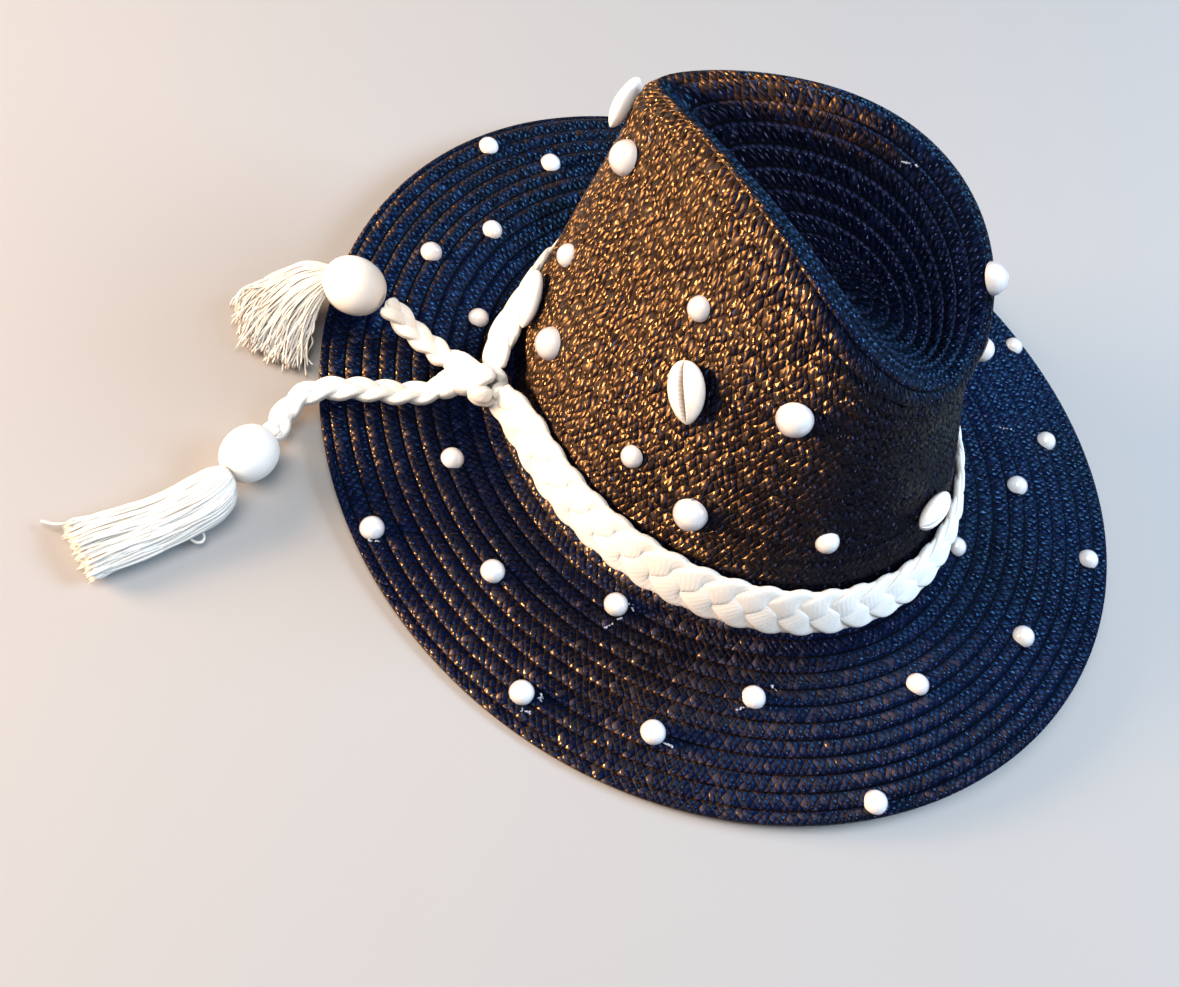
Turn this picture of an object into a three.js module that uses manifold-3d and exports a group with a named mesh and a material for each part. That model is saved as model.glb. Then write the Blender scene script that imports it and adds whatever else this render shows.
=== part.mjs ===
// Beach hat: a sewn straw fedora with a plaited cotton band, cowrie shells and half pearls.
// Millimetres, +Z up. The pinched front of the crown points to -Y, the wearer's left side to +X.
// The hat rests on z = 0 by the low sides of its brim.
import * as THREE from "three";
import { mergeVertices } from "three/addons/utils/BufferGeometryUtils.js";
import Module from "manifold-3d";

const wasm = await Module();
wasm.setup();

// Straw body
const WALL = 2.0;
const SECTORS = 60;
const OUTER_STEPS = [
  0, 12, 25, 38, 50, 60, 66.5, 70.5, 74, 77.5, 85, 93, 101, 112, 124, 137, 150, 162, 173, 182, 188, 193, 197,
  201, 206, 213, 222, 232, 242, 252, 259,
];
const INNER_STEPS = [0, 25, 50, 65, 70.5, 74, 77.5, 86, 101, 124, 148, 170, 184, 193, 201, 212, 230, 250];

// One row for each section of the hat, from the brim's edge over the crown to the middle of the dent.
// length and width are half axes, slope tips a section toward the front, arch lifts front and back.
// egg widens a section toward the back of the hat.
const RINGS = [
  { name: "edge", length: 170.5, width: 161.4, shiftX: 0, shiftY: 0, egg: 0, height: 7.4, slope: 1.2, arch: 5.45 },
  { name: "brim", length: 134, width: 124, shiftX: 0, shiftY: 0, egg: 0, height: 9.7, slope: 0.6, arch: 2.2 },
  { name: "root", length: 102, width: 91, shiftX: 0, shiftY: 0, egg: 0, height: 10.5, slope: 0, arch: 0.3 },
  { name: "foot", length: 96.5, width: 85.5, shiftX: 0, shiftY: -1, egg: 0, height: 16, slope: 0, arch: 0 },
  { name: "band top", length: 91.5, width: 80.5, shiftX: 0, shiftY: -4.5, egg: 0.02, height: 36.5, slope: 0, arch: 0 },
  { name: "wall", length: 84.5, width: 67, shiftX: -1, shiftY: -9, egg: 0.1, height: 75.5, slope: 3, arch: -3 },
  { name: "shoulder", length: 78.8, width: 53, shiftX: -3, shiftY: -11.8, egg: 0.35, height: 110.5, slope: 9, arch: -8.5 },
  { name: "outer crest", length: 76, width: 45.5, shiftX: -5.5, shiftY: -13.5, egg: 0.5, height: 126, slope: 12, arch: -12 },
  { name: "crest", length: 71.5, width: 39.5, shiftX: -6, shiftY: -13.5, egg: 0.55, height: 131.5, slope: 12.5, arch: -13 },
  { name: "lip", length: 61.8, width: 31.5, shiftX: -6.5, shiftY: -10.2, egg: 0.46, height: 128, slope: 12, arch: -11.5 },
  { name: "dent", length: 44, width: 21, shiftX: -7, shiftY: -3, egg: 0.28, height: 115, slope: 8.5, arch: -6 },
  { name: "floor", length: 22, width: 11.5, shiftX: -8.5, shiftY: 2, egg: 0.15, height: 104, slope: 3.5, arch: -1 },
  { name: "middle", length: 0.5, width: 0.5, shiftX: -9, shiftY: 5, egg: 0, height: 100.5, slope: 0, arch: 0 },
];

// Finger pinches on both sides of the crown's front, and a hollow in its back wall.
// Angles in degrees from the front toward the left.
const PINCHES = [
  { name: "left pinch", angle: 52, spread: 24, height: 99.5, rise: 26, depth: 9 },
  { name: "right pinch", angle: -52, spread: 24, height: 99.5, rise: 26, depth: 9 },
  { name: "back hollow", angle: -174, spread: 22, height: 92, rise: 26, depth: 12 },
];
const CREST_ROW = 8;
const PINCH_END = 22;

// Band, knot and tails
const GAP = 0.5;
const BAND = { foot: 73.5, top: 94.5, thickness: 4.6, sectors: 60 };
const KNOT = { angle: 43, path: 80, out: 15.4, length: 20, width: 16, height: 15 };
const TAIL_DIAMETER = 7;
const TAIL_SIDES = 8;
const UPPER_TAIL = [
  [66.9, -91.2, 22.1],
  [65.4, -94.6, 20.0],
  [64.7, -97.0, 18.2],
  [64.2, -99.5, 16.6],
  [63.9, -102.2, 15.6],
  [63.7, -105.2, 15.2],
  [63.6, -108.4, 15.3],
  [63.7, -111.6, 15.6],
  [64.0, -114.8, 16.0],
  [64.3, -117.7, 16.6],
  [64.6, -120.5, 17.8],
  [64.9, -123.1, 19.3],
  [65.2, -125.6, 21.0],
  [65.6, -128.4, 22.5],
  [66.3, -131.5, 23.6],
];
const LOWER_TAIL = [
  [72.4, -90.4, 20.9],
  [75.2, -92.0, 19.2],
  [77.5, -93.4, 17.7],
  [79.9, -95.1, 16.4],
  [82.4, -97.2, 15.5],
  [85.0, -99.6, 15.0],
  [87.8, -102.6, 14.8],
  [90.6, -106.0, 14.7],
  [93.4, -109.6, 14.7],
  [96.2, -113.2, 14.6],
  [99.2, -116.8, 14.4],
  [102.4, -120.4, 14.2],
  [105.8, -123.8, 14.0],
  [109.4, -126.9, 13.4],
  [113.0, -129.3, 11.9],
  [116.4, -130.7, 9.8],
  [119.8, -131.2, 7.7],
  [123.4, -130.7, 6.2],
  [126.8, -129.5, 5.7],
  [130.2, -128.3, 6.5],
  [133.7, -127.3, 8.0],
];
const BEADS = [
  { name: "bead_upper", x: 68.6, y: -145.2, z: 23.3, length: 25.5, width: 22.4, turn: -82, tip: -4 },
  { name: "bead_lower", x: 146, y: -126.8, z: 10.8, length: 23, width: 20.4, turn: 2, tip: 6 },
];

// Each lock of a tassel runs from the head to its tip over one bend. A flat lock is wider than thick.
const TASSELS = [
  {
    name: "tassel_upper",
    head: { x: 71.2, y: -163.0, z: 19.8, radius: 5.4 },
    bend: { x: 78.5, y: -170, z: 15.5, radius: 6 },
    tips: [
      { x: 77, y: -184.5, z: 5.2, radius: 3.6 },
      { x: 85, y: -184.5, z: 4.6, radius: 3.8 },
      { x: 92.5, y: -181, z: 4.4, radius: 3.8 },
      { x: 99, y: -175, z: 4.4, radius: 3.8 },
      { x: 104, y: -167, z: 4.4, radius: 3.8 },
      { x: 106.5, y: -158, z: 4.6, radius: 3.8 },
      { x: 106, y: -149.5, z: 5, radius: 3.6 },
    ],
  },
  {
    name: "tassel_lower",
    head: { x: 164.0, y: -126.3, z: 10.6, radius: 6 },
    bend: { x: 188, y: -134.5, z: 8.6, radius: 7 },
    tips: [
      { x: 219, y: -133, z: 4.6, radius: 4.2 },
      { x: 218, y: -139, z: 6.6, radius: 4.6 },
      { x: 216.5, y: -145.5, z: 6.4, radius: 4.6 },
      { x: 215, y: -151.5, z: 4.6, radius: 4.2 },
      { x: 218, y: -142.5, z: 3.8, radius: 3.8 },
    ],
  },
];

// path is the distance from the brim's edge along the straw, turn spins a shell about its own middle.
const SHELLS = [
  { name: "shell_side", path: 147.8, angle: 89.3, length: 22.5, width: 14.5, height: 7.6, turn: 32 },
  { name: "shell_front_low", path: 108.6, angle: 30.5, length: 22.5, width: 14.5, height: 7.6, turn: 46 },
  { name: "shell_front_top", path: 180.5, angle: 1.5, length: 20, width: 13.5, height: 7, turn: 45 },
  { name: "shell_back", path: 116, angle: 173, length: 20, width: 13.5, height: 7, turn: -90 },
];
const LARGE_PEARLS = [
  { path: 166, angle: 115.1, diameter: 13 },
  { path: 112.2, angle: 102.7, diameter: 13 },
  { path: 171.8, angle: 26.8, diameter: 13 },
  { path: 112.4, angle: 46.7, diameter: 12.8 },
  { path: 197.2, angle: -145, diameter: 12.5 },
  { path: 140, angle: -92, diameter: 13 },
];
const SMALL_PEARLS = [
  { path: 166, angle: 80.2, diameter: 9.2 },
  { path: 116, angle: 84.3, diameter: 8.8 },
  { path: 118.4, angle: 137.2, diameter: 9.2 },
  { path: 131.9, angle: 30.1, diameter: 9.2 },
  { path: 190, angle: -165, diameter: 9 },
  { path: 120, angle: -58, diameter: 9.2 },
  { path: 118, angle: -124, diameter: 9.2 },
];
const BRIM_PEARLS = [
  { path: 6.8, angle: -14, diameter: 9 },
  { path: 24.8, angle: -22.4, diameter: 9.2 },
  { path: 28.8, angle: 11.3, diameter: 9.2 },
  { path: 41.3, angle: -1.4, diameter: 8.8 },
  { path: 56.7, angle: 19.8, diameter: 8.6 },
  { path: 45.2, angle: 54.7, diameter: 9.2 },
  { path: 7.5, angle: 62.3, diameter: 9.4 },
  { path: 37.1, angle: 76.3, diameter: 9.4 },
  { path: 60.2, angle: 95.4, diameter: 9.4 },
  { path: 12.3, angle: 91.8, diameter: 9.4 },
  { path: 23, angle: 109.9, diameter: 9.6 },
  { path: 45.5, angle: 124.9, diameter: 9.4 },
  { path: 5.5, angle: 141.5, diameter: 9.4 },
  { path: 41.8, angle: 157, diameter: 9.2 },
  { path: 27.4, angle: 180.9, diameter: 9.2 },
  { path: 9, angle: -158.4, diameter: 8.8 },
  { path: 40.2, angle: -146.9, diameter: 9 },
  { path: 66.6, angle: -168, diameter: 8.4 },
  { path: 18.9, angle: -136.2, diameter: 9 },
  { path: 6, angle: -117, diameter: 8.6 },
  { path: 42, angle: -106, diameter: 9 },
  { path: 14, angle: -84, diameter: 9 },
  { path: 44, angle: -68, diameter: 9 },
  { path: 16, angle: -50, diameter: 9 },
];

const COLUMNS = ["length", "width", "shiftX", "shiftY", "egg", "height", "slope", "arch"];
const radians = THREE.MathUtils.degToRad;

// Distance along the hat's section at which each ring lies.
const STATIONS = RINGS.reduce((list, ring, i) => {
  if (i === 0) return [0];
  const last = RINGS[i - 1];
  const inward = (last.length - ring.length + last.width - ring.width) / 2;
  return [...list, list[i - 1] + Math.hypot(inward, ring.height - last.height)];
}, []);
const SECTION_LENGTH = STATIONS[STATIONS.length - 1];

// Rate of change of one column at ring i, weighted by the distances on both sides.
function rate(column, i) {
  const last = RINGS.length - 1;
  const step = (k) => (RINGS[k + 1][column] - RINGS[k][column]) / (STATIONS[k + 1] - STATIONS[k]);
  if (i === 0) return step(0);
  if (i === last) return step(last - 1);
  const before = STATIONS[i] - STATIONS[i - 1];
  const after = STATIONS[i + 1] - STATIONS[i];
  return (step(i - 1) * after + step(i) * before) / (before + after);
}

// The ring at a distance along the section, eased between the rows of the table.
function ringAt(path) {
  const place = THREE.MathUtils.clamp(path, 0, SECTION_LENGTH - 1e-6);
  const i = STATIONS.findLastIndex((station) => station <= place);
  const span = STATIONS[i + 1] - STATIONS[i];
  const t = (place - STATIONS[i]) / span;
  const ring = {};
  for (const column of COLUMNS) {
    ring[column] =
      (2 * t ** 3 - 3 * t ** 2 + 1) * RINGS[i][column] +
      (t ** 3 - 2 * t ** 2 + t) * span * rate(column, i) +
      (3 * t ** 2 - 2 * t ** 3) * RINGS[i + 1][column] +
      (t ** 3 - t ** 2) * span * rate(column, i + 1);
  }
  return ring;
}

// A point of the straw's outer face. The angle is in radians, from the front toward the left.
function facePoint(path, angle) {
  const ring = ringAt(path);
  const along = -ring.length * Math.cos(angle);
  const across = ring.width * Math.sin(angle) * (1 + (ring.egg * along) / ring.length);
  const height = ring.height + ring.slope * Math.cos(angle) + ring.arch * Math.cos(2 * angle);
  const point = new THREE.Vector3(across + ring.shiftX, along + ring.shiftY, height);
  // The pinches ease out over the last stretch below the crest.
  const ease = 1 - THREE.MathUtils.smoothstep(path, STATIONS[CREST_ROW] - PINCH_END, STATIONS[CREST_ROW]);
  for (const pinch of PINCHES) {
    const turn = THREE.MathUtils.euclideanModulo(THREE.MathUtils.radToDeg(angle) - pinch.angle + 180, 360) - 180;
    const off = (turn / pinch.spread) ** 2 + ((height - pinch.height) / pinch.rise) ** 2;
    const fade = ease * Math.exp(-0.5 * off);
    point.x -= pinch.depth * fade * Math.sin(angle);
    point.y += 0.5 * pinch.depth * fade * Math.cos(angle);
  }
  return point;
}

// The direction straight out of the straw at a point of its face.
function faceNormal(path, angle) {
  const step = 0.4;
  const from = Math.max(path - step, 0);
  const to = Math.min(path + step, SECTION_LENGTH);
  const inward = facePoint(to, angle).sub(facePoint(from, angle));
  const round = facePoint(path, angle + 0.01).sub(facePoint(path, angle - 0.01));
  return round.cross(inward).normalize();
}

function raised(path, angle, out) {
  return facePoint(path, angle).addScaledVector(faceNormal(path, angle), out);
}

// A geometry from points and from faces of three or four corners.
function geometryOf(points, faces) {
  const index = faces.flatMap(([a, b, c, d]) => (d === undefined ? [a, b, c] : [a, b, c, a, c, d]));
  const geometry = new THREE.BufferGeometry();
  geometry.setAttribute("position", new THREE.Float32BufferAttribute(points.flatMap((p) => p.toArray()), 3));
  geometry.setIndex(index);
  return geometry;
}

// Quads between rings of the same count. Ring k starts at point k * count.
function ringFaces(from, to, count, flip) {
  return Array.from({ length: count }, (_, j) => {
    const next = (j + 1) % count;
    const quad = [from * count + j, from * count + next, to * count + next, to * count + j];
    return flip ? quad.reverse() : quad;
  });
}

function strawBody() {
  const angles = Array.from({ length: SECTORS }, (_, j) => (2 * Math.PI * j) / SECTORS);
  const outer = OUTER_STEPS.map((path) => angles.map((angle) => facePoint(path, angle)));
  const inner = INNER_STEPS.map((path) => angles.map((angle) => raised(path, angle, -WALL)));
  const points = [...outer, ...inner].flat();
  const faces = [];
  for (let i = 0; i < outer.length - 1; i += 1) faces.push(...ringFaces(i, i + 1, SECTORS, false));
  for (let i = 0; i < inner.length - 1; i += 1) {
    faces.push(...ringFaces(outer.length + i, outer.length + i + 1, SECTORS, true));
  }
  faces.push(...ringFaces(0, outer.length, SECTORS, true));
  const middle = RINGS[RINGS.length - 1];
  const top = new THREE.Vector3(middle.shiftX, middle.shiftY, middle.height);
  const caps = [
    { ring: outer.length - 1, point: top, flip: false },
    { ring: outer.length + inner.length - 1, point: top.clone().setZ(top.z - WALL), flip: true },
  ];
  for (const { ring, point, flip } of caps) {
    const hub = points.push(point) - 1;
    for (let j = 0; j < SECTORS; j += 1) {
      const triangle = [ring * SECTORS + j, ring * SECTORS + ((j + 1) % SECTORS), hub];
      faces.push(flip ? triangle.reverse() : triangle);
    }
  }
  return geometryOf(points, faces);
}

// The band leans on the foot of the crown, straight from its low edge to its high one, with rounded edges.
function bandRing() {
  const section = [
    { along: -0.72, out: 0 },
    { along: -1, out: 0.45 },
    { along: -0.62, out: 0.95 },
    { along: 0, out: 1 },
    { along: 0.62, out: 0.95 },
    { along: 1, out: 0.45 },
    { along: 0.72, out: 0 },
  ];
  const points = [];
  for (let j = 0; j < BAND.sectors; j += 1) {
    const angle = (2 * Math.PI * j) / BAND.sectors;
    const low = raised(BAND.foot, angle, GAP);
    const half = raised(BAND.top, angle, GAP).sub(low).multiplyScalar(0.5);
    const round = facePoint(BAND.top, angle + 0.01).sub(facePoint(BAND.top, angle - 0.01));
    const normal = round.cross(half).normalize();
    for (const { along, out } of section) {
      const point = low.clone().addScaledVector(half, 1 + along);
      points.push(point.addScaledVector(normal, BAND.thickness * out));
    }
  }
  const count = section.length;
  const faces = [];
  for (let j = 0; j < BAND.sectors; j += 1) {
    faces.push(...ringFaces(j, (j + 1) % BAND.sectors, count, true));
  }
  return geometryOf(points, faces);
}

// Turns a piece so that its own +Z points out of the straw and its +Y up the crown, and sets it down.
// It stands off by the gap above the highest straw under a foot of the given radius.
function setOnStraw(geometry, path, angle, foot, turn = 0) {
  const centre = facePoint(path, angle);
  const out = faceNormal(path, angle);
  const up = facePoint(Math.min(path + 1, SECTION_LENGTH), angle).sub(centre).normalize();
  const side = up.clone().cross(out).normalize();
  up.copy(out).cross(side).normalize();
  let seat = 0;
  for (let k = 0; k < 16; k += 1) {
    const round = (2 * Math.PI * k) / 16;
    const ring = ringAt(path);
    const near = facePoint(path + foot * Math.sin(round), angle + (foot * Math.cos(round)) / Math.max(ring.width, 20));
    seat = Math.max(seat, near.sub(centre).dot(out));
  }
  geometry.rotateZ(radians(turn));
  geometry.applyMatrix4(new THREE.Matrix4().makeBasis(side, up, out));
  const place = centre.addScaledVector(out, seat + GAP);
  return geometry.translate(place.x, place.y, place.z);
}

// A flat-backed pearl, its back on z = 0.
function halfPearl(diameter, rows) {
  const radius = diameter / 2;
  const profile = [new THREE.Vector2(0, 0)];
  for (let k = 0; k < rows; k += 1) {
    const rise = ((Math.PI / 2) * k) / rows;
    profile.push(new THREE.Vector2(radius * Math.cos(rise), radius * Math.sin(rise)));
  }
  profile.push(new THREE.Vector2(0, radius));
  return new THREE.LatheGeometry(profile, 10).rotateX(Math.PI / 2);
}

// A cowrie with its opening out: a flattened egg whose one lengthwise line is sunk between two lips.
function cowrie({ length, width, height }) {
  const columns = 16;
  const rows = 8;
  const sunk = 0.42;
  const slit = Math.PI / 2;
  const points = [];
  for (let i = 1; i < rows; i += 1) {
    const lift = (Math.PI * i) / rows;
    const round = Math.sin(lift);
    for (let j = 0; j < columns; j += 1) {
      const turn = (2 * Math.PI * j) / columns;
      const onSlit = Math.abs(turn - slit) < 0.01;
      const depth = onSlit ? 1 - sunk * round : 1;
      const x = (width / 2) * round * Math.cos(turn) * (1 - 0.12 * Math.cos(lift));
      const y = (-length / 2) * Math.cos(lift);
      const z = height * (0.5 + 0.5 * round * Math.sin(turn) * depth);
      points.push(new THREE.Vector3(x, y, z));
    }
  }
  const faces = [];
  for (let i = 0; i < rows - 2; i += 1) faces.push(...ringFaces(i, i + 1, columns, false));
  const low = points.push(new THREE.Vector3(0, -length / 2, height / 2)) - 1;
  const high = points.push(new THREE.Vector3(0, length / 2, height / 2)) - 1;
  for (let j = 0; j < columns; j += 1) {
    const next = (j + 1) % columns;
    faces.push([next, j, low]);
    faces.push([(rows - 2) * columns + j, (rows - 2) * columns + next, high]);
  }
  // This winding faces inwards for a shell that is turned about +Y, so every face is reversed.
  return geometryOf(points, faces.map((face) => face.reverse()));
}

// A tube along points, with flat ends square to the route.
function tail(route) {
  const curve = new THREE.CatmullRomCurve3(route.map((p) => new THREE.Vector3(...p)));
  const section = new THREE.Shape();
  for (let k = 0; k < TAIL_SIDES; k += 1) {
    const turn = (2 * Math.PI * k) / TAIL_SIDES;
    const corner = [(TAIL_DIAMETER / 2) * Math.cos(turn), (TAIL_DIAMETER / 2) * Math.sin(turn)];
    if (k === 0) section.moveTo(...corner);
    else section.lineTo(...corner);
  }
  const steps = Math.max(10, Math.round(curve.getLength() / 5));
  return new THREE.ExtrudeGeometry(section, { steps, extrudePath: curve });
}

function bead({ x, y, z, length, width, turn, tip }) {
  const geometry = new THREE.SphereGeometry(0.5, 14, 10);
  geometry.scale(width, length, width).rotateZ(Math.PI / 2);
  geometry.rotateY(radians(-tip)).rotateZ(radians(turn));
  return geometry.translate(x, y, z);
}

// The knot is a lumpy ball with a waist where the tails part.
function knotBall() {
  const geometry = new THREE.SphereGeometry(0.5, 16, 10);
  const position = geometry.getAttribute("position");
  const point = new THREE.Vector3();
  for (let i = 0; i < position.count; i += 1) {
    point.fromBufferAttribute(position, i);
    point.multiplyScalar(1 + 0.09 * Math.sin(10 * point.x + 4) * Math.sin(9 * point.y + 8 * point.z));
    position.setXYZ(i, point.x * KNOT.width, point.y * KNOT.length, point.z * KNOT.height);
  }
  geometry.rotateZ(radians(20));
  const angle = radians(KNOT.angle);
  const place = raised(KNOT.path, angle, KNOT.out);
  const out = faceNormal(KNOT.path, angle);
  return geometry.rotateZ(Math.atan2(out.y, out.x)).translate(place.x, place.y, place.z);
}

function solidOf(geometry) {
  const bare = geometry.clone();
  bare.deleteAttribute("normal");
  bare.deleteAttribute("uv");
  const merged = mergeVertices(bare, 1e-3);
  const mesh = new wasm.Mesh({
    numProp: 3,
    vertProperties: new Float32Array(merged.attributes.position.array),
    triVerts: new Uint32Array(merged.index.array),
  });
  return new wasm.Manifold(mesh);
}

function geometryFrom(solid) {
  const mesh = solid.getMesh();
  const geometry = new THREE.BufferGeometry();
  geometry.setAttribute("position", new THREE.Float32BufferAttribute(mesh.vertProperties, 3));
  geometry.setIndex(Array.from(mesh.triVerts));
  return geometry;
}

// A lock of hair through a few round places, each with its own radius.
function lock(places) {
  const sides = 6;
  const points = [];
  places.forEach((place, i) => {
    const before = places[Math.max(i - 1, 0)];
    const after = places[Math.min(i + 1, places.length - 1)];
    const ahead = new THREE.Vector3(after.x - before.x, after.y - before.y, after.z - before.z).normalize();
    const side = new THREE.Vector3(0, 0, 1).cross(ahead).normalize();
    const up = ahead.clone().cross(side);
    for (let k = 0; k < sides; k += 1) {
      const turn = (2 * Math.PI * k) / sides;
      const point = new THREE.Vector3(place.x, place.y, place.z);
      point.addScaledVector(side, place.radius * Math.cos(turn));
      points.push(point.addScaledVector(up, 0.8 * place.radius * Math.sin(turn)));
    }
  });
  const faces = [];
  for (let i = 0; i < places.length - 1; i += 1) faces.push(...ringFaces(i, i + 1, sides, false));
  const last = (places.length - 1) * sides;
  for (let k = 1; k < sides - 1; k += 1) {
    faces.push([0, k + 1, k]);
    faces.push([last, last + k, last + k + 1]);
  }
  return geometryOf(points, faces);
}

// A tassel: all its locks leave one round head, and they are fused into one body.
function tassel({ head, bend, tips }) {
  const ball = new THREE.SphereGeometry(head.radius, 12, 8).translate(head.x, head.y, head.z);
  const middle = tips.reduce((sum, tip) => sum + tip.y / tips.length, 0);
  const locks = tips.map((tip) => {
    const spread = 0.32;
    const between = {
      x: bend.x + spread * (tip.x - bend.x) * 0.4,
      y: bend.y + spread * (tip.y - middle),
      z: bend.z,
      radius: 0.72 * bend.radius,
    };
    return lock([{ ...head, radius: 0.8 * head.radius }, between, tip]);
  });
  const parts = [ball, ...locks].map(solidOf);
  return geometryFrom(wasm.Manifold.union(parts));
}

const LOOKS = {
  straw: { color: 0x10131c, roughness: 0.45 },
  cotton: { color: 0xe9e2d4, roughness: 0.9 },
  wood: { color: 0xeee8dc, roughness: 0.55 },
  shell: { color: 0xf0e6da, roughness: 0.3 },
  pearl: { color: 0xf4efe8, roughness: 0.2 },
};

const group = new THREE.Group();

function add(name, geometry, look) {
  const mesh = new THREE.Mesh(geometry, new THREE.MeshStandardMaterial(LOOKS[look]));
  mesh.name = name;
  group.add(mesh);
}

function addPearls(prefix, pearls, rows) {
  pearls.forEach(({ path, angle, diameter }, i) => {
    const geometry = setOnStraw(halfPearl(diameter, rows), path, radians(angle), diameter / 2);
    add(`${prefix}_${i + 1}`, geometry, "pearl");
  });
}

add("straw_body", strawBody(), "straw");
add("band", bandRing(), "cotton");
add("knot", knotBall(), "cotton");
add("tail_upper", tail(UPPER_TAIL), "cotton");
add("tail_lower", tail(LOWER_TAIL), "cotton");
for (const row of BEADS) add(row.name, bead(row), "wood");
for (const row of TASSELS) add(row.name, tassel(row), "cotton");
for (const row of SHELLS) {
  const geometry = setOnStraw(cowrie(row), row.path, radians(row.angle), 0.3 * row.width, row.turn);
  add(row.name, geometry, "shell");
}
addPearls("pearl_large", LARGE_PEARLS, 3);
addPearls("pearl_small", SMALL_PEARLS, 2);
addPearls("pearl_brim", BRIM_PEARLS, 2);

export default group;
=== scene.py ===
import math

import bpy
import numpy as np
from mathutils import Matrix, Vector


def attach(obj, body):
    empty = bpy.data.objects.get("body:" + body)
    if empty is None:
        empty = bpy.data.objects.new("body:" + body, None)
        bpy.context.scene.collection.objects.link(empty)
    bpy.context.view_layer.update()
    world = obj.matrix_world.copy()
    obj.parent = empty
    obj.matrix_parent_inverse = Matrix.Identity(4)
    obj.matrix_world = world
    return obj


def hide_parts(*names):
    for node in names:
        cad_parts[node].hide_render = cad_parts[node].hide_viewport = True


# Beach hat: sewn paper straw, a plaited cotton band with two tails, cowrie shells and half pearls.
# Metres, +Z up. The pinched front of the crown points to -Y, the wearer's left side to +X.

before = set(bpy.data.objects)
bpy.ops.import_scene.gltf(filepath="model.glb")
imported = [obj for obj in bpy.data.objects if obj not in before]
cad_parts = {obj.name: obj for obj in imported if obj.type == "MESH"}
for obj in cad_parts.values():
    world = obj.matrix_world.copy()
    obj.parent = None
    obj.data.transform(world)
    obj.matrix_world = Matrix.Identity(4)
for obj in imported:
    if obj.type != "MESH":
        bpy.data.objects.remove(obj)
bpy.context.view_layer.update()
MM = 0.001
WELD = 0.000002  # points closer than this are merged, in metres
UP = np.array([0, 0, 1.0])

# ---------------------------------------------------------------- camera

CAMERA_PLACE = (0.3544, 0.0396, 0.4635)
CAMERA_RIGHT = (-0.5698, 0.7831, 0.2489)
CAMERA_UP = (-0.6287, -0.6106, 0.4817)
CAMERA_BACK = (0.5292, 0.1180, 0.8403)


def place_camera():
    data = bpy.data.cameras.new("camera")
    data.sensor_width = 36
    data.lens = 42.71
    data.clip_start = 0.01
    camera = bpy.data.objects.new("camera", data)
    turn = Matrix((CAMERA_RIGHT, CAMERA_UP, CAMERA_BACK)).transposed()
    camera.matrix_world = Matrix.Translation(CAMERA_PLACE) @ turn.to_4x4()
    bpy.context.collection.objects.link(camera)
    bpy.context.scene.camera = camera


place_camera()

# ---------------------------------------------------------------- the hat's shape

# One row for each section, from the brim's edge over the crown to the middle of the dent, in mm:
# half length, half width, shift x, shift y, egg, height, slope, arch.
RINGS = np.array([
    (170.5, 161.4, 0, 0, 0, 7.4, 1.2, 5.45),
    (134, 124, 0, 0, 0, 9.7, 0.6, 2.2),
    (102, 91, 0, 0, 0, 10.5, 0, 0.3),
    (96.5, 85.5, 0, -1, 0, 16, 0, 0),
    (91.5, 80.5, 0, -4.5, 0.02, 36.5, 0, 0),
    (84.5, 67, -1, -9, 0.1, 75.5, 3, -3),
    (78.8, 53, -3, -11.8, 0.35, 110.5, 9, -8.5),
    (76, 45.5, -5.5, -13.5, 0.5, 126, 12, -12),
    (71.5, 39.5, -6, -13.5, 0.55, 131.5, 12.5, -13),
    (61.8, 31.5, -6.5, -10.2, 0.46, 128, 12, -11.5),
    (44, 21, -7, -3, 0.28, 115, 8.5, -6),
    (22, 11.5, -8.5, 2, 0.15, 104, 3.5, -1),
    (0, 0, -9, 5, 0, 100.5, 0, 0),
])
# Finger pinches on both sides of the crown's front and a hollow in its back: place in degrees, spread in
# degrees, height, reach in height and depth in mm.
PINCHES = [(52, 24, 99.5, 26, 9), (-52, 24, 99.5, 26, 9), (-174, 22, 92, 26, 12)]
CREST_ROW = 8
PINCH_END = 22  # the pinches fade out over this many mm below the crest
STEPS = np.hypot(
    (RINGS[:-1, 0] - RINGS[1:, 0] + RINGS[:-1, 1] - RINGS[1:, 1]) / 2,
    RINGS[1:, 5] - RINGS[:-1, 5],
)
STATIONS = np.concatenate([[0], np.cumsum(STEPS)])
SECTION_LENGTH = STATIONS[-1]


def ring_rates():
    """How fast each value of a section changes along the path, smoothed between its two neighbours."""
    slopes = (RINGS[1:] - RINGS[:-1]) / STEPS[:, None]
    both = (STEPS[:-1] + STEPS[1:])[:, None]
    inner = (slopes[:-1] * STEPS[1:, None] + slopes[1:] * STEPS[:-1, None]) / both
    return np.vstack([slopes[:1], inner, slopes[-1:]])


RATES = ring_rates()


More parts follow.
